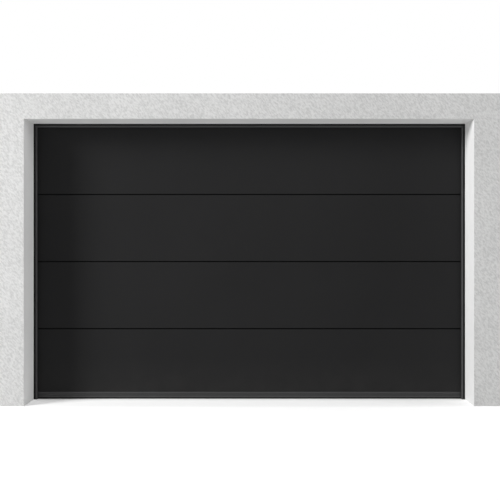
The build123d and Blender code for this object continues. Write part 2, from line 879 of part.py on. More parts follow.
with BuildPart() as winding_cones:
    with BuildSketch(Plane.XY.offset(shaft_z)):
        with Locations((spring_end - cone_hub_length, shaft_y + shaft_bore)):
            Rectangle(
                cone_hub_length + cone_flange,
                hub_radius - shaft_bore,
                align=(Align.MIN, Align.MIN),
            )
        with Locations((spring_end, shaft_y + shaft_bore)):
            Rectangle(
                cone_flange,
                cone_flange_diameter / 2 - shaft_bore,
                align=(Align.MIN, Align.MIN),
            )
            Rectangle(
                cone_flange + cone_body_length,
                cone_body_diameter / 2 - shaft_bore,
                align=(Align.MIN, Align.MIN),
            )
    revolve(axis=shaft_axis)
    # Four holes for the winding bars
    with BuildSketch(
        Plane((spring_end + cone_flange + cone_body_length / 2, shaft_y, shaft_z))
    ):
        Circle(winding_hole / 2)
    extrude(amount=cone_body_diameter, both=True, mode=Mode.SUBTRACT)
    with BuildSketch(
        Plane(
            (spring_end + cone_flange + cone_body_length / 2, shaft_y, shaft_z),
            z_dir=(0, 1, 0),
        )
    ):
        Circle(winding_hole / 2)
    extrude(amount=cone_body_diameter, both=True, mode=Mode.SUBTRACT)
    mirror(about=Plane.YZ)
winding_cones.part.label = "winding_cones"
export_step(winding_cones.part, "parts/winding_cones.step")

# Springs, as plain sleeves of the coil's outer and inner size
with BuildPart() as torsion_spring_right:
    with BuildSketch(Plane.YZ.offset(spring_start)):
        with Locations((shaft_y, shaft_z)):
            Circle(spring_outer / 2)
            Circle(spring_inner_radius, mode=Mode.SUBTRACT)
    extrude(amount=spring_length)
torsion_spring_right.part.label = "torsion_spring_right"
export_step(torsion_spring_right.part, "parts/torsion_spring_right.step")

with BuildPart() as torsion_spring_left:
    mirror(torsion_spring_right.part, about=Plane.YZ)
torsion_spring_left.part.label = "torsion_spring_left"
export_step(torsion_spring_left.part, "parts/torsion_spring_left.step")

# Cable drums, grooved, with the first groove over the cable
groove_radius = drum_wrap_radius - cable_radius - play
drum_outer = cable_x + drum_groove_pitch
drum_inner = drum_outer - drum_width
with BuildPart() as cable_drum_right:
    with BuildSketch(Plane.XY.offset(shaft_z)):
        with Locations((drum_inner - drum_hub_length, shaft_y + shaft_bore)):
            Rectangle(
                drum_hub_length + drum_width,
                drum_hub_radius - shaft_bore,
                align=(Align.MIN, Align.MIN),
            )
        with Locations((drum_inner, shaft_y + groove_radius - drum_rim)):
            Rectangle(
                drum_width, drum_rim + cable_radius, align=(Align.MIN, Align.MIN)
            )
        with Locations((drum_outer, shaft_y + shaft_bore)):
            Rectangle(
                drum_flange,
                drum_flange_radius - shaft_bore,
                align=(Align.MIN, Align.MIN),
            )
        with Locations(
            *[
                (cable_x - n * drum_groove_pitch, shaft_y + groove_radius)
                for n in range(drum_grooves)
            ]
        ):
            Rectangle(
                drum_groove,
                2 * cable_radius,
                align=(Align.CENTER, Align.MIN),
                mode=Mode.SUBTRACT,
            )
    revolve(axis=shaft_axis)
cable_drum_right.part.label = "cable_drum_right"
export_step(cable_drum_right.part, "parts/cable_drum_right.step")

with BuildPart() as cable_drum_left:
    mirror(cable_drum_right.part, about=Plane.YZ)
cable_drum_left.part.label = "cable_drum_left"
export_step(cable_drum_left.part, "parts/cable_drum_left.step")

# Lift cables: straight up from the studs, then half a turn over the drums
thimble_outer = stud_diameter / 2 + play + cable_diameter
thimble_width = cable_diameter + 2
with BuildPart() as lift_cables:
    with BuildSketch(Plane.YZ.offset(cable_x - thimble_width / 2)):
        with Locations((cable_y, stud_height)):
            Circle(thimble_outer)
            Circle(stud_diameter / 2 + play, mode=Mode.SUBTRACT)
    extrude(amount=thimble_width)
    with BuildLine() as cable_route:
        Line(
            (cable_x, cable_y, stud_height + thimble_outer - cable_radius),
            (cable_x, cable_y, shaft_z),
        )
        ThreePointArc(
            (cable_x, cable_y, shaft_z),
            (cable_x, shaft_y, shaft_z + drum_wrap_radius),
            (cable_x, shaft_y + drum_wrap_radius, shaft_z),
        )
    with BuildSketch(
        Plane((cable_x, cable_y, stud_height + thimble_outer - cable_radius))
    ):
        Circle(cable_radius)
    sweep(path=cable_route.line)
    mirror(about=Plane.YZ)
lift_cables.part.label = "lift_cables"
export_step(lift_cables.part, "parts/lift_cables.step")

# Rear hangers: angles down from two plates under the ceiling
hanger_y = run_end - hanger_setback
hanger_foot = run_z - channel_half
with BuildPart() as rear_hanger_right:
    with BuildSketch(Plane.XY.offset(hanger_foot)):
        with Locations((track_outer, hanger_y)):
            Rectangle(hanger_sheet, hanger_leg, align=(Align.MIN, Align.MIN))
            Rectangle(hanger_leg, hanger_sheet, align=(Align.MIN, Align.MIN))
    extrude(amount=wall_top - hanger_plate - hanger_foot)
    with BuildSketch(Plane.XY.offset(wall_top - hanger_plate)):
        with Locations((track_outer + hanger_leg / 2, hanger_y + hanger_leg / 2)):
            RectangleRounded(hanger_plate_length, hanger_plate_width, edge_radius)
            with GridLocations(hanger_hole_spacing, 0, 2, 1):
                Circle(hanger_hole / 2, mode=Mode.SUBTRACT)
    extrude(amount=hanger_plate)
rear_hanger_right.part.label = "rear_hanger_right"
export_step(rear_hanger_right.part, "parts/rear_hanger_right.step")

with BuildPart() as rear_hanger_left:
    mirror(rear_hanger_right.part, about=Plane.YZ)
rear_hanger_left.part.label = "rear_hanger_left"
export_step(rear_hanger_left.part, "parts/rear_hanger_left.step")

# Channel across the rear ends of the tracks
crossbar_y = run_end - crossbar_setback
with BuildPart() as rear_crossbar:
    with BuildSketch(Plane.YZ):
        with Locations((crossbar_y, run_top)):
            Rectangle(crossbar_width, crossbar_height, align=(Align.CENTER, Align.MIN))
        with Locations((crossbar_y, run_top + track_sheet)):
            Rectangle(
                crossbar_width - 2 * track_sheet,
                crossbar_height,
                align=(Align.CENTER, Align.MIN),
                mode=Mode.SUBTRACT,
            )
    extrude(amount=track_outer, both=True)
rear_crossbar.part.label = "rear_crossbar"
export_step(rear_crossbar.part, "parts/rear_crossbar.step")

# Rubber buffers inside the tracks' rear ends
with BuildPart() as track_buffers:
    with BuildSketch(Plane.XZ.offset(-run_end)):
        with Locations((wheel_x, run_z)):
            Circle(buffer_diameter / 2)
    extrude(amount=buffer_length)
    mirror(about=Plane.YZ)
track_buffers.part.label = "track_buffers"
export_step(track_buffers.part, "parts/track_buffers.step")
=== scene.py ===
# %% [markdown]
# # A sectional garage door in its wall
#
# The door's real shapes come from a CAD model, which loads below as the frame: each of
# its nodes is one named piece at its real size. This lesson gives every piece its finish,
# and models what the CAD model leaves plain: the plastered wall with its soft corners,
# the wound springs, the cable on the drums, the screws and the rollers' bearings.

# %% The frame
import bpy
import bmesh
import json
from math import radians, tau
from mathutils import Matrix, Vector


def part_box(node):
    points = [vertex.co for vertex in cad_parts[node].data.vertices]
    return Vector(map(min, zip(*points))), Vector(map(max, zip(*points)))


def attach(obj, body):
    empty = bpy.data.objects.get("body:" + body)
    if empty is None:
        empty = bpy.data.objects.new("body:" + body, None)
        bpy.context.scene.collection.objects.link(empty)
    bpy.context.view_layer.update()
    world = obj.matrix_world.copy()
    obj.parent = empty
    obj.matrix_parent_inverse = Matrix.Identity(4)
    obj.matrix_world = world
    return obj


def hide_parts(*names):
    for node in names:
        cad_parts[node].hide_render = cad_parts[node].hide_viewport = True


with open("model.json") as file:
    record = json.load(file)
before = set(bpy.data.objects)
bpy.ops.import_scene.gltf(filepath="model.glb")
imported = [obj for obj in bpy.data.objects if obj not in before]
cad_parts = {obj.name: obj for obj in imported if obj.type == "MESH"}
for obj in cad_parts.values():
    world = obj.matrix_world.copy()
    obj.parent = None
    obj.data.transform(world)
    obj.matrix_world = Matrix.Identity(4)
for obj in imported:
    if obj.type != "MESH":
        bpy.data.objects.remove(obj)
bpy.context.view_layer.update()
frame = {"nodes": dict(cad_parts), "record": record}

nodes = frame["nodes"]
print("CAD nodes:", len(nodes))

# %% [markdown]
# ## Effects that several materials share
#
# Real surfaces are never one flat colour. Three effects return on most of them: a slow
# drift between two tones, a fine grain that catches the light, and dust that gathers
# near the floor. Each could be drawn in every material by hand, but a node group is
# built once and placed with its own values, so it is the clearer way.

# %% A helper that places a node with its settings
def place(tree, kind, name, inputs=None, **settings):
    made = tree.nodes.new(kind)
    made.label = name
    for key, value in settings.items():
        setattr(made, key, value)
    for key, value in (inputs or {}).items():
        if isinstance(value, bpy.types.NodeSocket):
            tree.links.new(value, made.inputs[key])
        else:
            made.inputs[key].default_value = value
    return made


def new_group(name, inputs, outputs):
    group = bpy.data.node_groups.new(name, "ShaderNodeTree")
    for label, kind, value in inputs:
        socket = group.interface.new_socket(name=label, in_out="INPUT", socket_type=kind)
        if value is not None:
            socket.default_value = value
    for label, kind in outputs:
        group.interface.new_socket(name=label, in_out="OUTPUT", socket_type=kind)
    return group, group.nodes.new("NodeGroupInput"), group.nodes.new("NodeGroupOutput")


# %% Helpers for the sums that most effects need
def ramp(tree, name, value, start=0.0, end=1.0, first=0.0, last=1.0):
    """Runs from first to last while the value runs from start to end."""
    ends = {"From Min": start, "From Max": end, "To Min": first, "To Max": last}
    made = place(tree, "ShaderNodeMapRange", name, {"Value": value, **ends})
    return made.outputs["Result"]


def calculate(tree, operation, name, first, second=0.0):
    made = place(tree, "ShaderNodeMath", name, {0: first, 1: second}, operation=operation)
    return made.outputs["Value"]


# %% Two tones that drift into each other
two_tones, given, result = new_group(
    "two tones",
    [
        ("Vector", "NodeSocketVector", None),
        ("Scale", "NodeSocketFloat", 3.0),
        ("First", "NodeSocketColor", (0.5, 0.5, 0.5, 1)),
        ("Second", "NodeSocketColor", (0.6, 0.6, 0.6, 1)),
    ],
    [("Color", "NodeSocketColor"), ("Mask", "NodeSocketFloat")],
)
drift = place(
    two_tones,
    "ShaderNodeTexNoise",
    "slow drift",
    {"Vector": given.outputs["Vector"], "Scale": given.outputs["Scale"], "Detail": 5.0},
)
spread = ramp(two_tones, "full contrast", drift.outputs["Fac"], start=0.3, end=0.7)
blend = place(
    two_tones,
    "ShaderNodeMix",
    "first to second",
    {"Factor": spread},
    data_type="RGBA",
)
two_tones.links.new(given.outputs["First"], blend.inputs[6])
two_tones.links.new(given.outputs["Second"], blend.inputs[7])
two_tones.links.new(blend.outputs[2], result.inputs["Color"])
two_tones.links.new(spread, result.inputs["Mask"])
print("group:", two_tones.name)

# %% Grain that stands up from the surface
grain, given, result = new_group(
    "grain",
    [
        ("Vector", "NodeSocketVector", None),
        ("Scale", "NodeSocketFloat", 400.0),
        ("Height", "NodeSocketFloat", 0.2),
        ("Depth", "NodeSocketFloat", 0.0005),
    ],
    [("Normal", "NodeSocketVector"), ("Mask", "NodeSocketFloat")],
)
bumps = place(
    grain,
    "ShaderNodeTexNoise",
    "grains",
    {
        "Vector": given.outputs["Vector"],
        "Scale": given.outputs["Scale"],
        "Detail": 3.0,
        "Roughness": 0.6,
    },
)
raised = place(
    grain,
    "ShaderNodeBump",
    "raised grains",
    {
        "Height": bumps.outputs["Fac"],
        "Strength": given.outputs["Height"],
        "Distance": given.outputs["Depth"],
    },
)
grain.links.new(raised.outputs["Normal"], result.inputs["Normal"])
grain.links.new(bumps.outputs["Fac"], result.inputs["Mask"])
print("group:", grain.name)

# %% Dust that thins out above the floor
floor_dust, given, result = new_group(
    "floor dust",
    [
        ("Vector", "NodeSocketVector", None),
        ("Color", "NodeSocketColor", (0.5, 0.5, 0.5, 1)),
        ("Dust", "NodeSocketColor", (0.3, 0.29, 0.27, 1)),
        ("Reach", "NodeSocketFloat", 0.15),
        ("Amount", "NodeSocketFloat", 0.3),
    ],
    [("Color", "NodeSocketColor")],
)
apart = place(
    floor_dust, "ShaderNodeSeparateXYZ", "height", {"Vector": given.outputs["Vector"]}
)
fade = ramp(
    floor_dust,
    "fade upwards",
    apart.outputs["Z"],
    end=given.outputs["Reach"],
    first=1.0,
    last=0.0,
)
patchy = place(
    floor_dust,
    "ShaderNodeTexNoise",
    "patches",
    {"Vector": given.outputs["Vector"], "Scale": 9.0, "Detail": 6.0},
)
dusty = calculate(
    floor_dust, "MULTIPLY", "patches near the floor", fade, patchy.outputs["Fac"]
)
share = calculate(floor_dust, "MULTIPLY", "how much", dusty, given.outputs["Amount"])
over = place(
    floor_dust,
    "ShaderNodeMix",
    "dust over colour",
    {"Factor": share},
    data_type="RGBA",
)
floor_dust.links.new(given.outputs["Color"], over.inputs[6])
floor_dust.links.new(given.outputs["Dust"], over.inputs[7])
floor_dust.links.new(over.outputs[2], result.inputs["Color"])
print("group:", floor_dust.name)

# %% [markdown]
# ## Starting a material
#
# Every finish here begins the same way: a Principled shader, the point's place on the
# object, and the two tones. A helper makes that start, and each material then adds what
# is its own. The place is read from Object coordinates, because every piece sits at the
# origin, so the pattern keeps its real size and runs on from piece to piece.

# %% The start of every finish
def begin_finish(name, first, second, scale, roughness, metallic=0.0):
    material = bpy.data.materials.new(name)
    material.use_nodes = True
    tree = material.node_tree
    shader = tree.nodes["Principled BSDF"]
    shader.inputs["Roughness"].default_value = roughness
    shader.inputs["Metallic"].default_value = metallic
    spot = place(tree, "ShaderNodeTexCoord", "place on the object").outputs["Object"]
    tones = place(tree, "ShaderNodeGroup", "two tones", node_tree=two_tones)
    tree.links.new(spot, tones.inputs["Vector"])
    tones.inputs["Scale"].default_value = scale
    tones.inputs["First"].default_value = (*first, 1)
    tones.inputs["Second"].default_value = (*second, 1)
    tree.links.new(tones.outputs["Color"], shader.inputs["Base Color"])
    return material, tree, shader, spot, tones


def add_grain(tree, shader, spot, scale, height, depth):
    grains = place(tree, "ShaderNodeGroup", "grain", node_tree=grain)
    tree.links.new(spot, grains.inputs["Vector"])
    grains.inputs["Scale"].default_value = scale
    grains.inputs["Height"].default_value = height
    grains.inputs["Depth"].default_value = depth
    tree.links.new(grains.outputs["Normal"], shader.inputs["Normal"])
    return grains


def add_dust(tree, shader, spot, color, reach, amount):
    dust = place(tree, "ShaderNodeGroup", "floor dust", node_tree=floor_dust)
    tree.links.new(spot, dust.inputs["Vector"])
    tree.links.new(color, dust.inputs["Color"])
    dust.inputs["Reach"].default_value = reach
    dust.inputs["Amount"].default_value = amount
    tree.links.new(dust.outputs["Color"], shader.inputs["Base Color"])


def vary_roughness(tree, shader, mask, low, high):
    varied = ramp(tree, "roughness drift", mask, first=low, last=high)
    tree.links.new(varied, shader.inputs["Roughness"])


# %% [markdown]
# ## Masonry render
#
# The wall has a coat of pale mineral render, rubbed with a float while it set. The float
# rolls the coarse grains along and leaves short slanting furrows between them, about a
# centimetre wide and two and a half long. A noise that is stretched along a slant drives
# the bump for those, and painted shade darkens the furrows, which keeps them visible in
# flat light. The Mapping node is set to Texture, because it then turns first and
# stretches after, and the stretch follows the slant. In the reveal the coat is finer, and
# its whiter tone is painted light on the reveal, so it takes a material of its own.

# %% A helper that makes a colour lighter or darker
def scale_color(tree, name, color, factor):
    made = place(
        tree, "ShaderNodeVectorMath", name, {0: color, 1: factor}, operation="MULTIPLY"
    )
    return made.outputs["Vector"]


# %% Rubbed render on the faces, fine render in the reveal
def mix_render(name, first, second, furrow_shade, height):
    coat, tree, shader, spot, tones = begin_finish(
        name, first, second, scale=2.2, roughness=0.92
    )
    shader.inputs["Specular IOR Level"].default_value = 0.25
    slant = place(
        tree,
        "ShaderNodeMapping",
        "slant of the float",
        {"Vector": spot, "Rotation": (0.0, radians(50), 0.0), "Scale": (2.4, 1.0, 1.0)},
        vector_type="TEXTURE",
    )
    slanting = slant.outputs["Vector"]
    grains = add_grain(tree, shader, slanting, scale=110.0, height=height, depth=0.004)
    dents = grains.outputs["Mask"]
    # Painted shade: the tone is darkened in the furrows, where the grain mask is low.
    shade = ramp(
        tree, "painted shade in the furrows", dents, start=0.35, end=0.6, first=furrow_shade
    )
    toned = scale_color(tree, "tone times painted furrow shade", tones.outputs["Color"], shade)
    add_dust(tree, shader, spot, toned, reach=0.25, amount=0.12)
    print("finish:", coat.name)
    return coat


render_coat = mix_render(
    "rubbed render", (0.72, 0.72, 0.715), (0.755, 0.755, 0.75), furrow_shade=0.78, height=0.7
)
# The reveal's coat is finer, and its whiter tone is painted light that brightens the
# reveal.
reveal_coat_with_painted_light = mix_render(
    "fine render with painted light", (0.88, 0.88, 0.875), (0.92, 0.92, 0.915), furrow_shade=0.98, height=0.12
)

# %% [markdown]
# ## The leaf's paint
#
# Outside, the sections are a deep matt black with a fine leathery emboss. Inside, the
# same sheets are a pale grey. One material serves both skins: it picks its colour by the
# depth of the point in the leaf, because the skins meet at the joints in the middle. A
# dark seal is pressed into each joint, and the rounded edges that lead into it carry
# painted shade, so what lies deeper than the outer face is darker still.

# %% Black outside, pale grey inside
leaf_paint, tree, shader, spot, tones = begin_finish(
    "leaf paint",
    (0.022, 0.022, 0.0224),
    (0.0242, 0.0242, 0.0246),
    scale=1.4,
    roughness=0.55,
)
shader.inputs["Specular IOR Level"].default_value = 0.015
inner_tones = place(tree, "ShaderNodeGroup", "inner skin", node_tree=two_tones)
tree.links.new(spot, inner_tones.inputs["Vector"])
inner_tones.inputs["Scale"].default_value = 1.1
inner_tones.inputs["First"].default_value = (0.60, 0.61, 0.60, 1)
inner_tones.inputs["Second"].default_value = (0.66, 0.67, 0.66, 1)
depth = place(tree, "ShaderNodeSeparateXYZ", "depth in the leaf", {"Vector": spot})
inside = calculate(tree, "GREATER_THAN", "on the inner skin", depth.outputs["Y"], 0.0)
skin = place(
    tree,
    "ShaderNodeMix",
    "outer or inner skin",
    {"Factor": inside},
    data_type="RGBA",
)
outer_face, in_the_joint = -0.0209, -0.0195
# Painted shade: deeper than the outer face the colour falls to a quarter, over the dark
# seal and the rounded edges that lead into each joint.
joint_seal_and_painted_shade = ramp(
    tree,
    "dark seal and painted shade in the joints",
    depth.outputs["Y"],
    start=outer_face,
    end=in_the_joint,
    first=1.0,
    last=0.25,
)
outer_skin = scale_color(tree, "outer skin and joints", tones.outputs["Color"], joint_seal_and_painted_shade)
tree.links.new(outer_skin, skin.inputs[6])
tree.links.new(inner_tones.outputs["Color"], skin.inputs[7])
add_dust(tree, shader, spot, skin.outputs[2], reach=0.35, amount=0.05)
vary_roughness(tree, shader, tones.outputs["Mask"], low=0.50, high=0.62)
print("finish:", leaf_paint.name)

# %% Fine emboss on both skins, coarser on the inner one
emboss = ramp(tree, "emboss height", inside, first=0.10, last=0.45)
grains = add_grain(tree, shader, spot, scale=330.0, height=0.1, depth=0.0006)
tree.links.new(emboss, grains.inputs["Height"])

# %% [markdown]
# ## Frame, rail and rubber
#
# The posts and the head carry the leaf's colour in a slightly smoother coat. The bottom
# rail is an extrusion in dark grey that catches a little more light. The frame's bead and
# the rail's two ridges stand proud, and a painted highlight makes them lighter where the
# light would catch them. The depth of the point picks them out. The rubber is black, dull
# and faintly dusty near the floor.

# %% Faces that stand proud get a painted highlight
def paint_highlight_on_proud_faces(tree, spot, tones, proud, flat, gain):
    depth = place(tree, "ShaderNodeSeparateXYZ", "depth of the face", {"Vector": spot})
    inwards = depth.outputs["Y"]
    # Painted highlight: the tone is made lighter where the face stands proud.
    with_painted_highlight = ramp(tree, "painted highlight where proud", inwards, start=proud, end=flat, first=gain)
    return scale_color(tree, "tone with painted highlight", tones.outputs["Color"], with_painted_highlight)


# %% Frame coat
frame_coat, tree, shader, spot, tones = begin_finish(
    "frame coat",
    (0.046, 0.046, 0.047),
    (0.052, 0.052, 0.053),
    scale=2.5,
    roughness=0.45,
)
shader.inputs["Specular IOR Level"].default_value = 0.25
add_grain(tree, shader, spot, scale=900.0, height=0.12, depth=0.0003)
# Painted highlight on the frame's bead, 1.45 times lighter.
with_painted_highlight = paint_highlight_on_proud_faces(tree, spot, tones, proud=-0.0505, flat=-0.0485, gain=1.45)
add_dust(tree, shader, spot, with_painted_highlight, reach=0.2, amount=0.15)
vary_roughness(tree, shader, tones.outputs["Mask"], low=0.4, high=0.5)
print("finish:", frame_coat.name)

# %% Rail coat
rail_coat, tree, shader, spot, tones = begin_finish(
    "rail coat",
    (0.024, 0.024, 0.0245),
    (0.028, 0.028, 0.029),
    scale=3.0,
    roughness=0.42,
)
shader.inputs["Specular IOR Level"].default_value = 0.33
add_grain(tree, shader, spot, scale=1100.0, height=0.1, depth=0.0003)
# Painted highlight on the rail's two ridges, 1.9 times lighter.
with_painted_highlight = paint_highlight_on_proud_faces(tree, spot, tones, proud=-0.0262, flat=-0.0241, gain=1.9)
add_dust(tree, shader, spot, with_painted_highlight, reach=0.09, amount=0.04)
vary_roughness(tree, shader, tones.outputs["Mask"], low=0.38, high=0.5)
print("finish:", rail_coat.name)

# %% Black rubber
rubber, tree, shader, spot, tones = begin_finish(
    "black rubber",
    (0.006, 0.006, 0.006),
    (0.010, 0.010, 0.0097),
    scale=14.0,
    roughness=0.75,
)
shader.inputs["Specular IOR Level"].default_value = 0.2
add_grain(tree, shader, spot, scale=700.0, height=0.25, depth=0.0004)
add_dust(tree, shader, spot, tones.outputs["Color"], reach=0.05, amount=0.02)
vary_roughness(tree, shader, tones.outputs["Mask"], low=0.68, high=0.82)
print("finish:", rubber.name)

# %% [markdown]
# ## Metals behind the leaf
#
# Tracks, hinges and brackets are bent from zinc-coated sheet. Zinc freezes in flat
# crystals, the spangle, and each crystal mirrors the light its own way. A Voronoi
# texture gives one value to each cell, which is just that, and it drives both colour and
# roughness. Turned and cast parts are plainer and only need a tone and a grain.

# %% Spangle of the zinc coat
spangle, given, result = new_group(
    "spangle",
    [
        ("Vector", "NodeSocketVector", None),
        ("Scale", "NodeSocketFloat", 140.0),
        ("Dark", "NodeSocketColor", (0.4, 0.41, 0.42, 1)),
        ("Light", "NodeSocketColor", (0.6, 0.61, 0.62, 1)),
    ],
    [("Color", "NodeSocketColor"), ("Mask", "NodeSocketFloat")],
)
crystals = place(
    spangle,
    "ShaderNodeTexVoronoi",
    "crystals",
    {"Vector": given.outputs["Vector"], "Scale": given.outputs["Scale"]},
)
lightness = place(
    spangle,
    "ShaderNodeSeparateColor",
    "one value each",
    {"Color": crystals.outputs["Color"]},
)
crystal_mix = place(
    spangle,
    "ShaderNodeMix",
    "dark to light crystals",
    {"Factor": lightness.outputs["Red"]},
    data_type="RGBA",
)
spangle.links.new(given.outputs["Dark"], crystal_mix.inputs[6])
spangle.links.new(given.outputs["Light"], crystal_mix.inputs[7])
spangle.links.new(crystal_mix.outputs[2], result.inputs["Color"])
spangle.links.new(lightness.outputs["Green"], result.inputs["Mask"])
print("group:", spangle.name)

# %% Zinc-coated sheet
zinc, tree, shader, spot, tones = begin_finish(
    "zinc sheet",
    (0.42, 0.43, 0.44),
    (0.55, 0.56, 0.57),
    scale=5.0,
    roughness=0.42,
    metallic=0.9,
)
crystal = place(tree, "ShaderNodeGroup", "spangle", node_tree=spangle)
tree.links.new(spot, crystal.inputs["Vector"])
tree.links.new(tones.outputs["Color"], crystal.inputs["Dark"])
crystal.inputs["Light"].default_value = (0.66, 0.67, 0.68, 1)
tree.links.new(crystal.outputs["Color"], shader.inputs["Base Color"])
vary_roughness(tree, shader, crystal.outputs["Mask"], low=0.34, high=0.5)
add_grain(tree, shader, spot, scale=1200.0, height=0.08, depth=0.0002)
print("finish:", zinc.name)

# %% Bright turned steel
bright_steel, tree, shader, spot, tones = begin_finish(
    "bright steel",
    (0.50, 0.50, 0.50),
    (0.60, 0.60, 0.60),
    scale=30.0,
    roughness=0.3,
    metallic=1.0,
)
add_grain(tree, shader, spot, scale=1500.0, height=0.1, depth=0.0001)
vary_roughness(tree, shader, tones.outputs["Mask"], low=0.24, high=0.38)
print("finish:", bright_steel.name)

# %% Oiled spring wire
spring_wire, tree, shader, spot, tones = begin_finish(
    "spring wire",
    (0.055, 0.055, 0.058),
    (0.10, 0.098, 0.095),
    scale=18.0,
    roughness=0.38,
    metallic=0.85,
)
add_grain(tree, shader, spot, scale=900.0, height=0.15, depth=0.0002)
vary_roughness(tree, shader, tones.outputs["Mask"], low=0.3, high=0.48)
print("finish:", spring_wire.name)

# %% Sand-cast aluminium
cast, tree, shader, spot, tones = begin_finish(
    "cast aluminium",
    (0.52, 0.52, 0.53),
    (0.62, 0.62, 0.63),
    scale=40.0,
    roughness=0.5,
    metallic=0.9,
)
add_grain(tree, shader, spot, scale=500.0, height=0.5, depth=0.0005)
vary_roughness(tree, shader, tones.outputs["Mask"], low=0.45, high=0.6)
print("finish:", cast.name)

# %% Nylon wheels
nylon, tree, shader, spot, tones = begin_finish(
    "nylon wheels",
    (0.74, 0.73, 0.68),
    (0.80, 0.79, 0.75),
    scale=20.0,
    roughness=0.42,
)
shader.inputs["Subsurface Weight"].default_value = 0.08
add_grain(tree, shader, spot, scale=800.0, height=0.08, depth=0.0002)
vary_roughness(tree, shader, tones.outputs["Mask"], low=0.36, high=0.5)
print("finish:", nylon.name)

# %% [markdown]
# The lift cable is a rope of fine steel wires laid in a slow twist. At four millimetres
# thick the strands are best told by a bump that climbs round the rope: a wave texture
# whose bands lean across the cable does that without thousands of faces.

# %% Wire rope
rope, tree, shader, spot, tones = begin_finish(
    "wire rope",
    (0.30, 0.30, 0.31),
    (0.42, 0.42, 0.43),
    scale=60.0,
    roughness=0.4,
    metallic=1.0,
)
lean = place(
    tree,
    "ShaderNodeMapping",
    "lean across the rope",
    {"Vector": spot, "Rotation": (0.0, radians(25), radians(25))},
)
strands = place(
    tree,
    "ShaderNodeTexWave",
    "strands",
    {"Vector": lean.outputs["Vector"], "Scale": 130.0},
    bands_direction="Z",
)
laid = place(
    tree,
    "ShaderNodeBump",
    "laid strands",
    {"Height": strands.outputs["Fac"], "Strength": 0.8, "Distance": 0.0005},
)
tree.links.new(laid.outputs["Normal"], shader.inputs["Normal"])
print("finish:", rope.name)

# %% [markdown]
# ## Finishes on the CAD nodes
#
# The record names a slot for each node. The finish follows the slot, so a node that is
# added to the CAD model later finds its material by itself.

# %% Each node takes the finish of its slot
finish_of_slot = {
    "masonry_render": render_coat,
    "leaf_black": leaf_paint,
    "frame_black": frame_coat,
    "rail_grey": rail_coat,
    "black_rubber": rubber,
    "zinc_sheet": zinc,
    "bright_steel": bright_steel,
    "spring_steel": spring_wire,
    "cast_aluminium": cast,
    "nylon": nylon,
    "cable_steel": rope,
}
slot_of_node = {s["node"]: s["material_slot"] for s in frame["record"]["subparts"]}
for name, node in nodes.items():
    node.data.materials.clear()
    node.data.materials.append(finish_of_slot[slot_of_node[name]])
print("finished nodes:", len(slot_of_node))

# %% [markdown]
# ## The plastered wall
#
# In the CAD model the wall is three plain blocks. Real render runs over all of them in
# one coat and turns the opening's corners with a soft arris of two or three millimetres.
# So the wall is modelled as one block, cut by three planes at the opening's edges, with
# the doorway taken out and its front rim drawn back to make the reveal.

# %% Modelling helpers
def deselect_all():
    if bpy.context.object and bpy.context.object.mode != "OBJECT":
        bpy.ops.object.mode_set(mode="OBJECT")
    bpy.ops.object.select_all(action="DESELECT")


def settle(piece, name, material):
    """Bakes the piece's place into its mesh, names it and lets it ride on the part."""
    deselect_all()
    piece.select_set(True)
    bpy.context.view_layer.objects.active = piece
    bpy.ops.object.transform_apply(location=True, rotation=True, scale=True)
    piece.name = name
    piece.data.materials.clear()
    piece.data.materials.append(material)
    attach(piece, "root")
    print(name, "faces:", len(piece.data.polygons))


def choose(piece, faces=None, edges=None):
    """In edit mode, selects the faces or edges whose centre passes the test."""
    bpy.ops.mesh.select_mode(type="FACE" if faces else "EDGE")
    bpy.ops.mesh.select_all(action="DESELECT")
    mesh = bmesh.from_edit_mesh(piece.data)
    if faces:
        for face in mesh.faces:
            if faces(face.calc_center_median(), face.normal):
                face.select_set(True)
    else:
        for edge in mesh.edges:
            if edges((edge.verts[0].co + edge.verts[1].co) / 2, edge):
                edge.select_set(True)
    bmesh.update_edit_mesh(piece.data)


# %% One block, cut at the opening's edges
wall_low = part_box("left_pier")[0]
wall_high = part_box("lintel")[1]
opening_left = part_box("left_pier")[1][0]
opening_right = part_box("right_pier")[0][0]
opening_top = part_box("lintel")[0][2]
wall_front, wall_back = wall_low[1], wall_high[1]

deselect_all()
bpy.ops.mesh.primitive_cube_add(
    size=1,
    location=[(a + b) / 2 for a, b in zip(wall_low, wall_high)],
    scale=[b - a for a, b in zip(wall_low, wall_high)],
)
wall = bpy.context.object
bpy.ops.object.transform_apply(location=True, rotation=True, scale=True)
bpy.ops.object.mode_set(mode="EDIT")
for point, normal in (
    ((opening_left, 0, 0), (1, 0, 0)),
    ((opening_right, 0, 0), (1, 0, 0)),
    ((0, 0, opening_top), (0, 0, 1)),
):
    bpy.ops.mesh.select_all(action="SELECT")
    bpy.ops.mesh.bisect(plane_co=point, plane_no=normal)
print("opening:", round(opening_right - opening_left, 3), "by", round(opening_top, 3))

# %% The doorway comes out and the reveal runs to the back
near = 0.001


def in_doorway(centre, normal):
    return opening_left < centre.x < opening_right and centre.z < opening_top


def on_front_rim(centre, edge):
    return edge.is_boundary and centre.z > 0 and centre.y < wall_front + near


choose(wall, faces=in_doorway)
bpy.ops.mesh.delete(type="FACE")
choose(wall, edges=on_front_rim)
bpy.ops.mesh.extrude_edges_move(
    TRANSFORM_OT_translate={"value": (0, wall_back - wall_front, 0)}
)
bpy.ops.mesh.select_all(action="SELECT")
bpy.ops.mesh.remove_doubles(threshold=0.0005)
bpy.ops.mesh.select_all(action="SELECT")
bpy.ops.mesh.normals_make_consistent(inside=False)
print("wall faces:", len(bmesh.from_edit_mesh(wall.data).faces))

# %% Soft arrises round the opening and along the wall's own corners
def on_arris(centre, edge):
    if edge.is_boundary or len(edge.link_faces) != 2:
        return False
    return edge.calc_face_angle() > radians(60) and centre.z > near


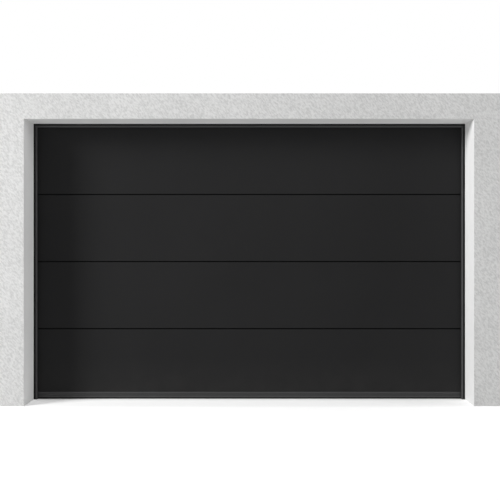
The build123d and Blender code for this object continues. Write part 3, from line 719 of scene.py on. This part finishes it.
choose(wall, edges=on_arris)
arris = 0.0025
bpy.ops.mesh.bevel(offset=arris, segments=3, affect="EDGES")
bpy.ops.object.mode_set(mode="OBJECT")
settle(wall, "plastered_wall", render_coat)
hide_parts("left_pier", "right_pier", "lintel")
wall.data.materials.append(reveal_coat_with_painted_light)
for face in wall.data.polygons:
    x, y, z = face.center
    in_opening = abs(x) < opening_right + near and z < opening_top + near
    face.material_index = int(in_opening and wall_front + near < y < wall_back - near)
print("reveal faces:", sum(face.material_index for face in wall.data.polygons))

# %% [markdown]
# ## Wound springs
#
# Two long springs on the shaft carry the leaf's weight. Each is a wire wound turn against
# turn. One ring of wire is drawn beside the shaft's axis, and the Screw modifier carries
# it round and along, which is how such a coil is really wound. The left spring is the
# right one's mirror image, because the two are wound in opposite directions.

# %% The coil
spring_low, spring_high = (Vector(c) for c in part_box("torsion_spring_right"))
shaft_centre = (spring_low + spring_high) / 2
coil_radius = (spring_high.z - spring_low.z) / 2
spring_length = spring_high.x - spring_low.x
wire = 0.006
turns = round(spring_length / wire) - 1

deselect_all()
bpy.ops.mesh.primitive_circle_add(
    vertices=8, radius=wire / 2, location=(0, 0, 0), rotation=(radians(90), 0, 0)
)
coil = bpy.context.object
bpy.ops.object.transform_apply(location=True, rotation=True, scale=True)
bpy.ops.object.mode_set(mode="EDIT")
bpy.ops.mesh.select_all(action="SELECT")
bpy.ops.transform.translate(
    value=(spring_low.x + wire / 2, 0, coil_radius - wire / 2)
)
bpy.ops.object.mode_set(mode="OBJECT")
screw = coil.modifiers.new("wind", "SCREW")
screw.axis = "X"
screw.iterations = turns
screw.screw_offset = (spring_length - wire) / turns
screw.steps = screw.render_steps = 26
bpy.ops.object.modifier_apply(modifier=screw.name)
print("turns:", turns, "faces:", len(coil.data.polygons))

# %% Helpers for a piece and its mirror image
def face_outwards():
    """In edit mode, turns all faces outwards, then leaves edit mode."""
    bpy.ops.mesh.select_all(action="SELECT")
    bpy.ops.mesh.normals_make_consistent(inside=False)
    bpy.ops.object.mode_set(mode="OBJECT")


def copy_of(piece):
    """A copy with a mesh of its own."""
    twin = piece.copy()
    twin.data = piece.data.copy()
    bpy.context.scene.collection.objects.link(twin)
    return twin


def settle_both_sides(piece, name, material):
    """Mirrors the right piece to the left, settles both, and returns them by side."""
    left = copy_of(piece)
    left.location.x *= -1
    left.scale.x = -1
    for twin, side in ((piece, "right"), (left, "left")):
        settle(twin, name + side, material)
    bpy.ops.object.mode_set(mode="EDIT")
    face_outwards()
    return (piece, "right"), (left, "left")


# %% Its two cut ends are closed, and the left coil is mirrored
bpy.ops.object.mode_set(mode="EDIT")
choose(coil, edges=lambda centre, edge: edge.is_boundary)
bpy.ops.mesh.edge_face_add()
face_outwards()
bpy.ops.object.shade_smooth_by_angle(angle=radians(60))
coil.location = (0, shaft_centre.y, shaft_centre.z)
for piece, side in settle_both_sides(coil, "spring_coil_", spring_wire):
    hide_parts("torsion_spring_" + side)

# %% [markdown]
# ## Cable on the drums
#
# The lift cable comes straight up, and its spare length lies round the drum in the
# grooves. A plain helix would ride over the lands between them, so the wound wire is
# eased after the Screw modifier has made it: each turn stays in its groove and steps
# across to the next one on the lower part of the drum only. It starts where the CAD cable
# ends, at the drum's back, and a crimped stop holds its end.

# %% Three turns of wire
cable_high = Vector(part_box("lift_cables")[1])
rope_radius = 0.002
thimble_half = 0.003
cable_at = cable_high.x - thimble_half
wrap_radius = cable_high.y - rope_radius - shaft_centre.y
groove_step = 0.006
wire_sides, turn_steps, wound_turns = 8, 36, 3

deselect_all()
bpy.ops.mesh.primitive_circle_add(vertices=wire_sides, radius=rope_radius)
wound = bpy.context.object
bpy.ops.object.mode_set(mode="EDIT")
bpy.ops.mesh.select_all(action="SELECT")
bpy.ops.transform.translate(value=(0, wrap_radius, 0))
bpy.ops.object.mode_set(mode="OBJECT")
wind = wound.modifiers.new("wind", "SCREW")
wind.axis = "X"
wind.angle = -tau
wind.iterations = wound_turns
wind.screw_offset = -groove_step
wind.steps = wind.render_steps = turn_steps
bpy.ops.object.modifier_apply(modifier=wind.name)
print("wrap radius:", round(wrap_radius, 4), "faces:", len(wound.data.polygons))

# %% Each turn keeps to its groove and crosses over below
for index, vertex in enumerate(wound.data.vertices):
    turned = (index // wire_sides) / turn_steps
    whole = int(turned)
    share = min(1.0, 2 * (turned - whole))
    eased = whole + share * share * (3 - 2 * share)
    vertex.co.x += groove_step * (turned - eased)
bpy.ops.object.mode_set(mode="EDIT")
choose(wound, edges=lambda centre, edge: edge.is_boundary)
bpy.ops.mesh.edge_face_add()
stop_radius, stop_length, stop_drop = 0.0034, 0.016, 0.006
bpy.ops.mesh.primitive_cylinder_add(
    vertices=12,
    radius=stop_radius,
    depth=stop_length,
    location=(-groove_step * wound_turns, wrap_radius, -stop_drop),
)
bpy.ops.mesh.bevel(offset=0.0007, segments=2, affect="EDGES")
face_outwards()
bpy.ops.object.shade_smooth_by_angle(angle=radians(50))

# %% One on each drum
wound.location = (cable_at, shaft_centre.y, shaft_centre.z)
settle_both_sides(wound, "wound_cable_", rope)

# %% [markdown]
# ## Where the CAD solids are
#
# Screws and bearings sit on the separate solids of a node: fifteen hinges, ten wheels,
# eight brackets. Their places could be typed in by hand, but then they would stay behind
# if the CAD model changed. So a copy of the node's mesh is merged and walked from vertex
# to vertex, which gives the box of each solid.

# %% The box of each solid in a node
def solid_boxes(name):
    mesh = bmesh.new()
    mesh.from_mesh(nodes[name].data)
    bmesh.ops.remove_doubles(mesh, verts=mesh.verts, dist=0.00002)
    boxes, reached = [], set()
    for start in mesh.verts:
        if start in reached:
            continue
        reached.add(start)
        edge_of_search, corners = [start], []
        while edge_of_search:
            vertex = edge_of_search.pop()
            corners.append(vertex.co.copy())
            for edge in vertex.link_edges:
                other = edge.other_vert(vertex)
                if other not in reached:
                    reached.add(other)
                    edge_of_search.append(other)
        low = Vector([min(c[axis] for c in corners) for axis in range(3)])
        high = Vector([max(c[axis] for c in corners) for axis in range(3)])
        boxes.append((low, high))
    mesh.free()
    return boxes


lower_leaves = solid_boxes("hinge_lower_leaves")
upper_leaves = solid_boxes("hinge_upper_leaves")
print("hinges:", len(lower_leaves), "wheels:", len(solid_boxes("rollers")))

# %% [markdown]
# ## Screws
#
# Thin sheet is held with hexagon screws that carry their own washer, a flange pressed in
# one piece with the head. There are well over a hundred, so the one that is modelled
# keeps to a few dozen faces: a six-sided prism with a bevelled top on a twelve-sided disc.
# Copies are then turned to face the way that each one looks, and joined in groups.

# %% One hexagon screw, standing on its face
def model_screw(head_radius, head_height, flange_radius, flange_height):
    deselect_all()
    bpy.ops.mesh.primitive_cylinder_add(
        vertices=12,
        radius=flange_radius,
        depth=flange_height,
        location=(0, 0, flange_height / 2),
    )
    screw = bpy.context.object
    bpy.ops.object.transform_apply(location=True, rotation=True, scale=True)
    bpy.ops.object.mode_set(mode="EDIT")
    choose(screw, faces=lambda centre, normal: normal.z > 0.9)
    bpy.ops.transform.resize(value=(0.86, 0.86, 1))
    bpy.ops.mesh.primitive_cylinder_add(
        vertices=6,
        radius=head_radius,
        depth=head_height,
        location=(0, 0, flange_height + head_height / 2),
    )
    choose(screw, faces=lambda centre, normal: centre.z > flange_height + 0.9 * head_height)
    bpy.ops.mesh.inset(thickness=0.16 * head_radius)
    bpy.ops.transform.translate(value=(0, 0, 0.1 * head_height))
    face_outwards()
    print("screw faces:", len(screw.data.polygons))
    return screw


sheet_screw = model_screw(
    head_radius=0.0046, head_height=0.0042, flange_radius=0.0064, flange_height=0.0011
)
wall_anchor = model_screw(
    head_radius=0.0075, head_height=0.0060, flange_radius=0.0105, flange_height=0.0016
)

# %% Copies of a small model, each turned its own way
def fit_copies(model, name, spots, material):
    copies = []
    for where, way in spots:
        twin = copy_of(model)
        twin.location = where
        twin.rotation_euler = Vector(way).to_track_quat("Z", "Y").to_euler()
        copies.append(twin)
    deselect_all()
    for twin in copies:
        twin.select_set(True)
    bpy.context.view_layer.objects.active = copies[0]
    bpy.ops.object.join()
    settle(copies[0], name, material)


into_garage, upwards = (0, 1, 0), (0, 0, 1)
print("ways to face:", into_garage, upwards)

# %% Screws on the hinges, two in each leaf
hinge_sheet, side_inset, end_inset = 0.0025, 0.013, 0.012
hinge_spots = []
for leaves, upper in ((lower_leaves, False), (upper_leaves, True)):
    for low, high in leaves:
        z = high.z - end_inset if upper else low.z + end_inset
        for x in (low.x + side_inset, high.x - side_inset):
            hinge_spots.append(((x, low.y + hinge_sheet, z), into_garage))
fit_copies(sheet_screw, "hinge_screws", hinge_spots, bright_steel)

# %% Screws on the top and bottom brackets
bracket_sheet, inset = 0.003, 0.012
top_plate_screws, bottom_plate_screws = (inset, 0.05), (inset, 0.042)
bracket_spots = []
for low, high in solid_boxes("top_brackets"):
    for x in (low.x + inset, high.x - inset):
        for step in top_plate_screws:
            bracket_spots.append(((x, low.y + bracket_sheet, low.z + step), into_garage))
leaf_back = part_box("end_caps")[1][1]
for low, high in solid_boxes("bottom_brackets"):
    for step in bottom_plate_screws:
        x = low.x + step if low.x > 0 else high.x - step
        for z in (low.z + inset, high.z - inset):
            bracket_spots.append(((x, leaf_back + bracket_sheet, z), into_garage))
fit_copies(sheet_screw, "bracket_screws", bracket_spots, bright_steel)

# %% Bolts through the track brackets, the angles and the rear hangers
track_spots = []
fixing_sheet, fixing_depth, angle_sheet = 0.0025, 0.014, 0.002
for low, high in solid_boxes("track_brackets"):
    height = (low.z + high.z) / 2
    depth = low.y + fixing_depth
    track_spots.append(((low.x + fixing_sheet, depth, height), (1, 0, 0)))
    track_spots.append(((high.x - fixing_sheet, depth, height), (-1, 0, 0)))
for low, high in solid_boxes("track_angles"):
    side = 1 if low.x > 0 else -1
    leg = (low.x if side > 0 else high.x) + side * angle_sheet
    for share in (0.12, 0.5, 0.88):
        depth = low.y + (high.y - low.y) * share
        track_spots.append(((leg, depth, (low.z + high.z) / 2), (side, 0, 0)))
hanger_sheet, hanger_bolt, bar_inset = 0.002, 0.028, 0.015
for side in ("right", "left"):
    low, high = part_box("rear_hanger_" + side)
    track_low, track_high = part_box("horizontal_track_" + side)
    outer = track_high[0] if side == "right" else track_low[0]
    sign = 1 if side == "right" else -1
    height = (track_low[2] + track_high[2]) / 2
    bolt = (outer + sign * hanger_sheet, low[1] + hanger_bolt, height)
    track_spots.append((bolt, (sign, 0, 0)))
low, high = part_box("rear_crossbar")
for x in (low[0] + bar_inset, high[0] - bar_inset):
    track_spots.append(((x, (low[1] + high[1]) / 2, high[2]), upwards))
fit_copies(sheet_screw, "track_bolts", track_spots, bright_steel)

# %% Anchors into the masonry: bearing plates, posts and head
end_plate_sheet, end_plate_inset, plate_end = 0.003, 0.016, 0.022
anchor_spots = []
for low, high in solid_boxes("end_bearing_plates"):
    x = high.x - end_plate_inset if low.x > 0 else low.x + end_plate_inset
    for z in (low.z + plate_end, high.z - plate_end):
        anchor_spots.append(((x, low.y + end_plate_sheet, z), into_garage))
centre_plate_sheet, centre_plate_inset = 0.005, 0.014
low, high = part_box("centre_bearing_plate")
for x in (low[0] + centre_plate_inset, high[0] - centre_plate_inset):
    for z in (low[2] + plate_end, high[2] - plate_end):
        anchor_spots.append(((x, low[1] + centre_plate_sheet, z), into_garage))
frame_sheet, post_inset, lowest, below_top = 0.002, 0.022, 0.12, 0.16
flange_face = wall_back + frame_sheet
for side in ("right", "left"):
    low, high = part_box("frame_post_" + side)
    x = high[0] - post_inset if side == "right" else low[0] + post_inset
    for step in range(6):
        z = lowest + step * (high[2] - below_top - lowest) / 5
        anchor_spots.append(((x, flange_face, z), into_garage))
head_inset, head_spacing = 0.014, 0.5
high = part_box("frame_head")[1]
for step in range(-3, 4):
    x = step * head_spacing
    anchor_spots.append(((x, flange_face, high[2] - head_inset), into_garage))
fit_copies(wall_anchor, "wall_anchors", anchor_spots, zinc)

# %% [markdown]
# ## Bearings in the wheels
#
# Each nylon wheel runs on a small ball bearing: an outer and an inner race with a thin
# shield sunk between them. The ring's section is a plane cut in three, with the middle
# part pushed in, and the Spin operator carries it round the stem.

# %% One bearing's section
stem_clear, race_outer, race_height = 0.0060, 0.0135, 0.0008
shield_inner, shield_outer, race_step, sunk = 0.0082, 0.0112, 0.0003, 0.0006
deselect_all()
bpy.ops.mesh.primitive_plane_add(
    size=1, location=((stem_clear + race_outer) / 2, 0, 0), rotation=(radians(90), 0, 0)
)
bearing = bpy.context.object
bearing.scale = (race_outer - stem_clear, 2 * race_height, 1)
bpy.ops.object.transform_apply(location=True, rotation=True, scale=True)
bpy.ops.object.mode_set(mode="EDIT")
for cut in (
    shield_inner,
    shield_inner + race_step,
    shield_outer - race_step,
    shield_outer,
):
    bpy.ops.mesh.select_all(action="SELECT")
    bpy.ops.mesh.bisect(plane_co=(cut, 0, 0), plane_no=(1, 0, 0))
choose(
    bearing,
    edges=lambda centre, edge: edge.is_boundary
    and centre.z > 0
    and shield_inner + race_step < centre.x < shield_outer - race_step,
)
bpy.ops.transform.translate(value=(0, 0, -sunk))
choose(bearing, edges=lambda centre, edge: not edge.is_boundary)
bpy.ops.mesh.dissolve_edges(use_verts=False)
bpy.ops.mesh.select_all(action="SELECT")
bpy.ops.mesh.delete(type="ONLY_FACE")
print("section edges:", len(bmesh.from_edit_mesh(bearing.data).edges))

# %% Spun round the stem's axis, and two on each wheel
bpy.ops.mesh.select_all(action="SELECT")
bpy.ops.mesh.spin(steps=20, angle=tau, center=(0, 0, 0), axis=(0, 0, 1))
bpy.ops.mesh.select_all(action="SELECT")
bpy.ops.mesh.remove_doubles(threshold=0.00001)
face_outwards()
bpy.ops.object.shade_smooth_by_angle(angle=radians(35))
bearing_spots = []
for low, high in solid_boxes("rollers"):
    y, z = (low.y + high.y) / 2, (low.z + high.z) / 2
    bearing_spots.append(((low.x, y, z), (-1, 0, 0)))
    bearing_spots.append(((high.x, y, z), (1, 0, 0)))
fit_copies(bearing, "wheel_bearings", bearing_spots, bright_steel)

# %% [markdown]
# ## Set screws and rivets
#
# The winding cones and the drums are locked to the shaft by square-headed set screws,
# which a fitter can reach with an open spanner. The end caps are riveted to the sections
# between the hinges. Both are small, and both start from a primitive that is shaped once:
# the set screw is a four-sided prism on a round neck, the rivet is a flattened half ball.

# %% A square-headed set screw
neck_radius, neck_length, neck_middle = 0.0045, 0.004, 0.001
head_radius, head_length, head_middle = 0.0062, 0.008, 0.007
deselect_all()
bpy.ops.mesh.primitive_cylinder_add(
    vertices=10, radius=neck_radius, depth=neck_length, location=(0, 0, neck_middle)
)
set_screw = bpy.context.object
bpy.ops.object.transform_apply(location=True, rotation=True, scale=True)
bpy.ops.object.mode_set(mode="EDIT")
bpy.ops.mesh.primitive_cylinder_add(
    vertices=4, radius=head_radius, depth=head_length, location=(0, 0, head_middle)
)
choose(set_screw, faces=lambda centre, normal: centre.z > head_middle + 0.49 * head_length)
bpy.ops.mesh.inset(thickness=0.0009)
bpy.ops.transform.translate(value=(0, 0, 0.0008))
face_outwards()
print("set screw faces:", len(set_screw.data.polygons))

# %% Two on each winding cone, two on each drum
cone_radius, hub_radius, hub_step = 0.030, 0.022, 0.010
slope = 0.7071
lock_spots = []
for low, high in solid_boxes("winding_cones"):
    side = 1 if low.x > 0 else -1
    end = high.x if side > 0 else low.x
    for step in (0.009, 0.033):
        where = (
            end - side * step,
            shaft_centre.y + slope * cone_radius,
            shaft_centre.z + slope * cone_radius,
        )
        lock_spots.append((where, (0, 1, 1)))
for side, name in ((1, "cable_drum_right"), (-1, "cable_drum_left")):
    low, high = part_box(name)
    inner = low[0] if side > 0 else high[0]
    for lift in (1, -1):
        where = (
            inner + side * hub_step,
            shaft_centre.y + slope * hub_radius,
            shaft_centre.z + lift * slope * hub_radius,
        )
        lock_spots.append((where, (0, 1, lift)))
fit_copies(set_screw, "set_screws", lock_spots, bright_steel)

# %% A flat-domed rivet, and three along each end cap
deselect_all()
rivet_radius = 0.0042
bpy.ops.mesh.primitive_uv_sphere_add(segments=10, ring_count=6, radius=rivet_radius)
rivet = bpy.context.object
bpy.ops.object.mode_set(mode="EDIT")
bpy.ops.mesh.select_all(action="SELECT")
bpy.ops.mesh.bisect(
    plane_co=(0, 0, 0), plane_no=(0, 0, 1), clear_inner=True, use_fill=True
)
bpy.ops.mesh.select_all(action="SELECT")
bpy.ops.transform.resize(value=(1, 1, 0.5), center_override=(0, 0, 0))
bpy.ops.object.mode_set(mode="OBJECT")
bpy.ops.object.shade_smooth_by_angle(angle=radians(50))
rivet_inset = 0.012
rivet_spots = []
for low, high in solid_boxes("end_caps"):
    x = low.x + rivet_inset if low.x > 0 else high.x - rivet_inset
    for share in (0.26, 0.5, 0.74):
        rivet_spots.append(((x, high.y, low.z + share * (high.z - low.z)), into_garage))
fit_copies(rivet, "cap_rivets", rivet_spots, bright_steel)

# %% The models that were copied from are put away
for model in (sheet_screw, wall_anchor, bearing, set_screw, rivet):
    bpy.data.objects.remove(model, do_unlink=True)
meshes = [piece for piece in bpy.context.scene.objects if piece.type == "MESH"]
print("pieces in the scene:", len(meshes))

# %% [markdown]
# ## Stage, light and camera
#
# The door is seen from the drive, a little right of its middle and at eye height. A wide
# soft lamp stands low to the left, so the left jamb and the lintel throw their soft
# shadows on the leaf. A weaker lamp at the right and a pale sky fill those, and a third
# lamp lights the mechanism from the garage. The floor and the sky are near white where
# the camera or a mirror sees them, and no brighter than grey as light. In the doorway
# the floor glows less, and along the seal not at all: that is painted shade for the
# lintel and the leaf's foot, whose shade would be lost in a white floor.

# %% What the camera or a mirror sees
def seen_rays(tree):
    """The node that tells rays apart, and 1 where the camera or a mirror looks."""
    rays = place(tree, "ShaderNodeLightPath", "which ray")
    camera_ray, mirror_ray = rays.outputs["Is Camera Ray"], rays.outputs["Is Glossy Ray"]
    return rays, calculate(tree, "MAXIMUM", "camera or mirror", camera_ray, mirror_ray)


# %% A pale floor that keeps the shadows
deselect_all()
bpy.ops.mesh.primitive_plane_add(size=60, location=(0, 0, 0))
floor = bpy.context.object
floor.name = "floor"
floor_white = bpy.data.materials.new("floor white")
floor_white.use_nodes = True
tree = floor_white.node_tree
tree.nodes.remove(tree.nodes["Principled BSDF"])
output = tree.nodes["Material Output"]
_, seen = seen_rays(tree)
along = place(tree, "ShaderNodeTexCoord", "place on the floor").outputs["Object"]
apart = place(tree, "ShaderNodeSeparateXYZ", "across and in", {"Vector": along})
across = calculate(tree, "ABSOLUTE", "from the middle", apart.outputs["X"])
inwards = apart.outputs["Y"]
print("floor:", [round(side, 1) for side in floor.dimensions])

# %% Where the floor glows less, as painted shade under the lintel and along the seal
drive_glow, garage_glow, doorway_glow = 0.52, 0.28, 0.36
soft_edge, seal_front, seal_back = 0.02, -0.052, -0.04
under = ramp(
    tree, "under the lintel", inwards, start=wall_front - soft_edge, end=wall_front
)
for label, value, limit in (
    ("between the piers", across, opening_right),
    ("in front of the leaf", inwards, 0.0),
):
    within = calculate(tree, "LESS_THAN", label, value, limit)
    under = calculate(tree, "MULTIPLY", "and " + label, under, within)
# Painted shade: along the seal the floor's glow falls to nothing, a dark line at the leaf's
# foot.
seal_painted_shade = ramp(
    tree,
    "painted shade along the seal",
    inwards,
    start=seal_front,
    end=seal_back,
    first=doorway_glow,
    last=0.0,
)
open_floor = ramp(
    tree,
    "whiter on the drive than in the garage",
    inwards,
    start=-1.0,
    end=1.5,
    first=drive_glow,
    last=garage_glow,
)
away = place(tree, "ShaderNodeVectorMath", "how far away", {0: along}, operation="LENGTH")
distance = away.outputs["Value"]
far_floor = ramp(
    tree, "fades to white far away", distance, start=4.0, end=11.0, first=open_floor
)
# Painted shade: under the lintel the glow that the camera sees drops to the doorway's lower
# glow.
visible = ramp(tree, "painted shade under the lintel", under, first=far_floor, last=seal_painted_shade)
print("floor glow on the drive and in the garage:", drive_glow, garage_glow)

# %% The floor's own colour, and the glow on it
floor_color, floor_light = (0.9, 0.9, 0.9, 1), 0.1
lift = ramp(tree, "glow as light, and to see", seen, first=floor_light, last=visible)
dull = place(tree, "ShaderNodeBsdfDiffuse", "floor", {"Color": floor_color})
glow = place(tree, "ShaderNodeEmission", "white", {"Strength": lift})
both = place(tree, "ShaderNodeAddShader", "both", {0: dull.outputs[0], 1: glow.outputs[0]})
tree.links.new(both.outputs["Shader"], output.inputs["Surface"])
floor.data.materials.append(floor_white)
print("floor nodes:", len(tree.nodes))

# %% A white sky that lights as grey
world = bpy.data.worlds.new("sky")
bpy.context.scene.world = world
world.use_nodes = True
tree = world.node_tree
rays, seen = seen_rays(tree)
clear = calculate(tree, "MAXIMUM", "or glass", seen, rays.outputs["Is Transmission Ray"])
sky_light, white = 0.24, 1.0
strength = ramp(
    tree, "grey as light, white to see", clear, first=sky_light, last=white
)
background = tree.nodes["Background"]
tree.links.new(strength, background.inputs["Strength"])
background.inputs["Color"].default_value = (1, 1, 1, 1)
print("sky as light:", sky_light)

# %% The lamps: the key at the left, a fill from the right, one from the garage
def add_lamp(name, place_at, look_at, size, power):
    data = bpy.data.lights.new(name, "AREA")
    data.shape = "DISK"
    data.size = size
    data.energy = power
    lamp = bpy.data.objects.new(name, data)
    bpy.context.scene.collection.objects.link(lamp)
    lamp.location = place_at
    gaze = Vector(look_at) - Vector(place_at)
    lamp.rotation_euler = gaze.to_track_quat("-Z", "Y").to_euler()
    print("lamp:", name, power, "W")


add_lamp("key", (-12.9, -7.0, 7.3), (0, -0.1, 1.2), size=5.7, power=2150)
add_lamp("right_fill", (14, -2.6, 4.4), (-1.8, -0.17, 1.2), size=4.5, power=560)
add_lamp("garage_side", (2.5, 9.5, 6.5), (0, 0.8, 1.4), size=5.0, power=620)

# %% The camera at the photograph's place
camera_data = bpy.data.cameras.new("camera")
camera = bpy.data.objects.new("camera", camera_data)
bpy.context.scene.collection.objects.link(camera)
to_the_right, from_the_wall, eye_height = 0.076, 5.7, 1.318
camera.location = (to_the_right, wall_front - from_the_wall, eye_height)
camera.rotation_euler = (radians(90), 0, 0)
camera_data.sensor_width = 36
camera_data.lens = 51.31
camera_data.shift_x = -0.0169
camera_data.shift_y = -0.0169
camera_data.clip_end = 200
bpy.context.scene.camera = camera
bpy.context.scene.view_settings.view_transform = "Standard"
print("camera at", [round(v, 3) for v in camera.location])
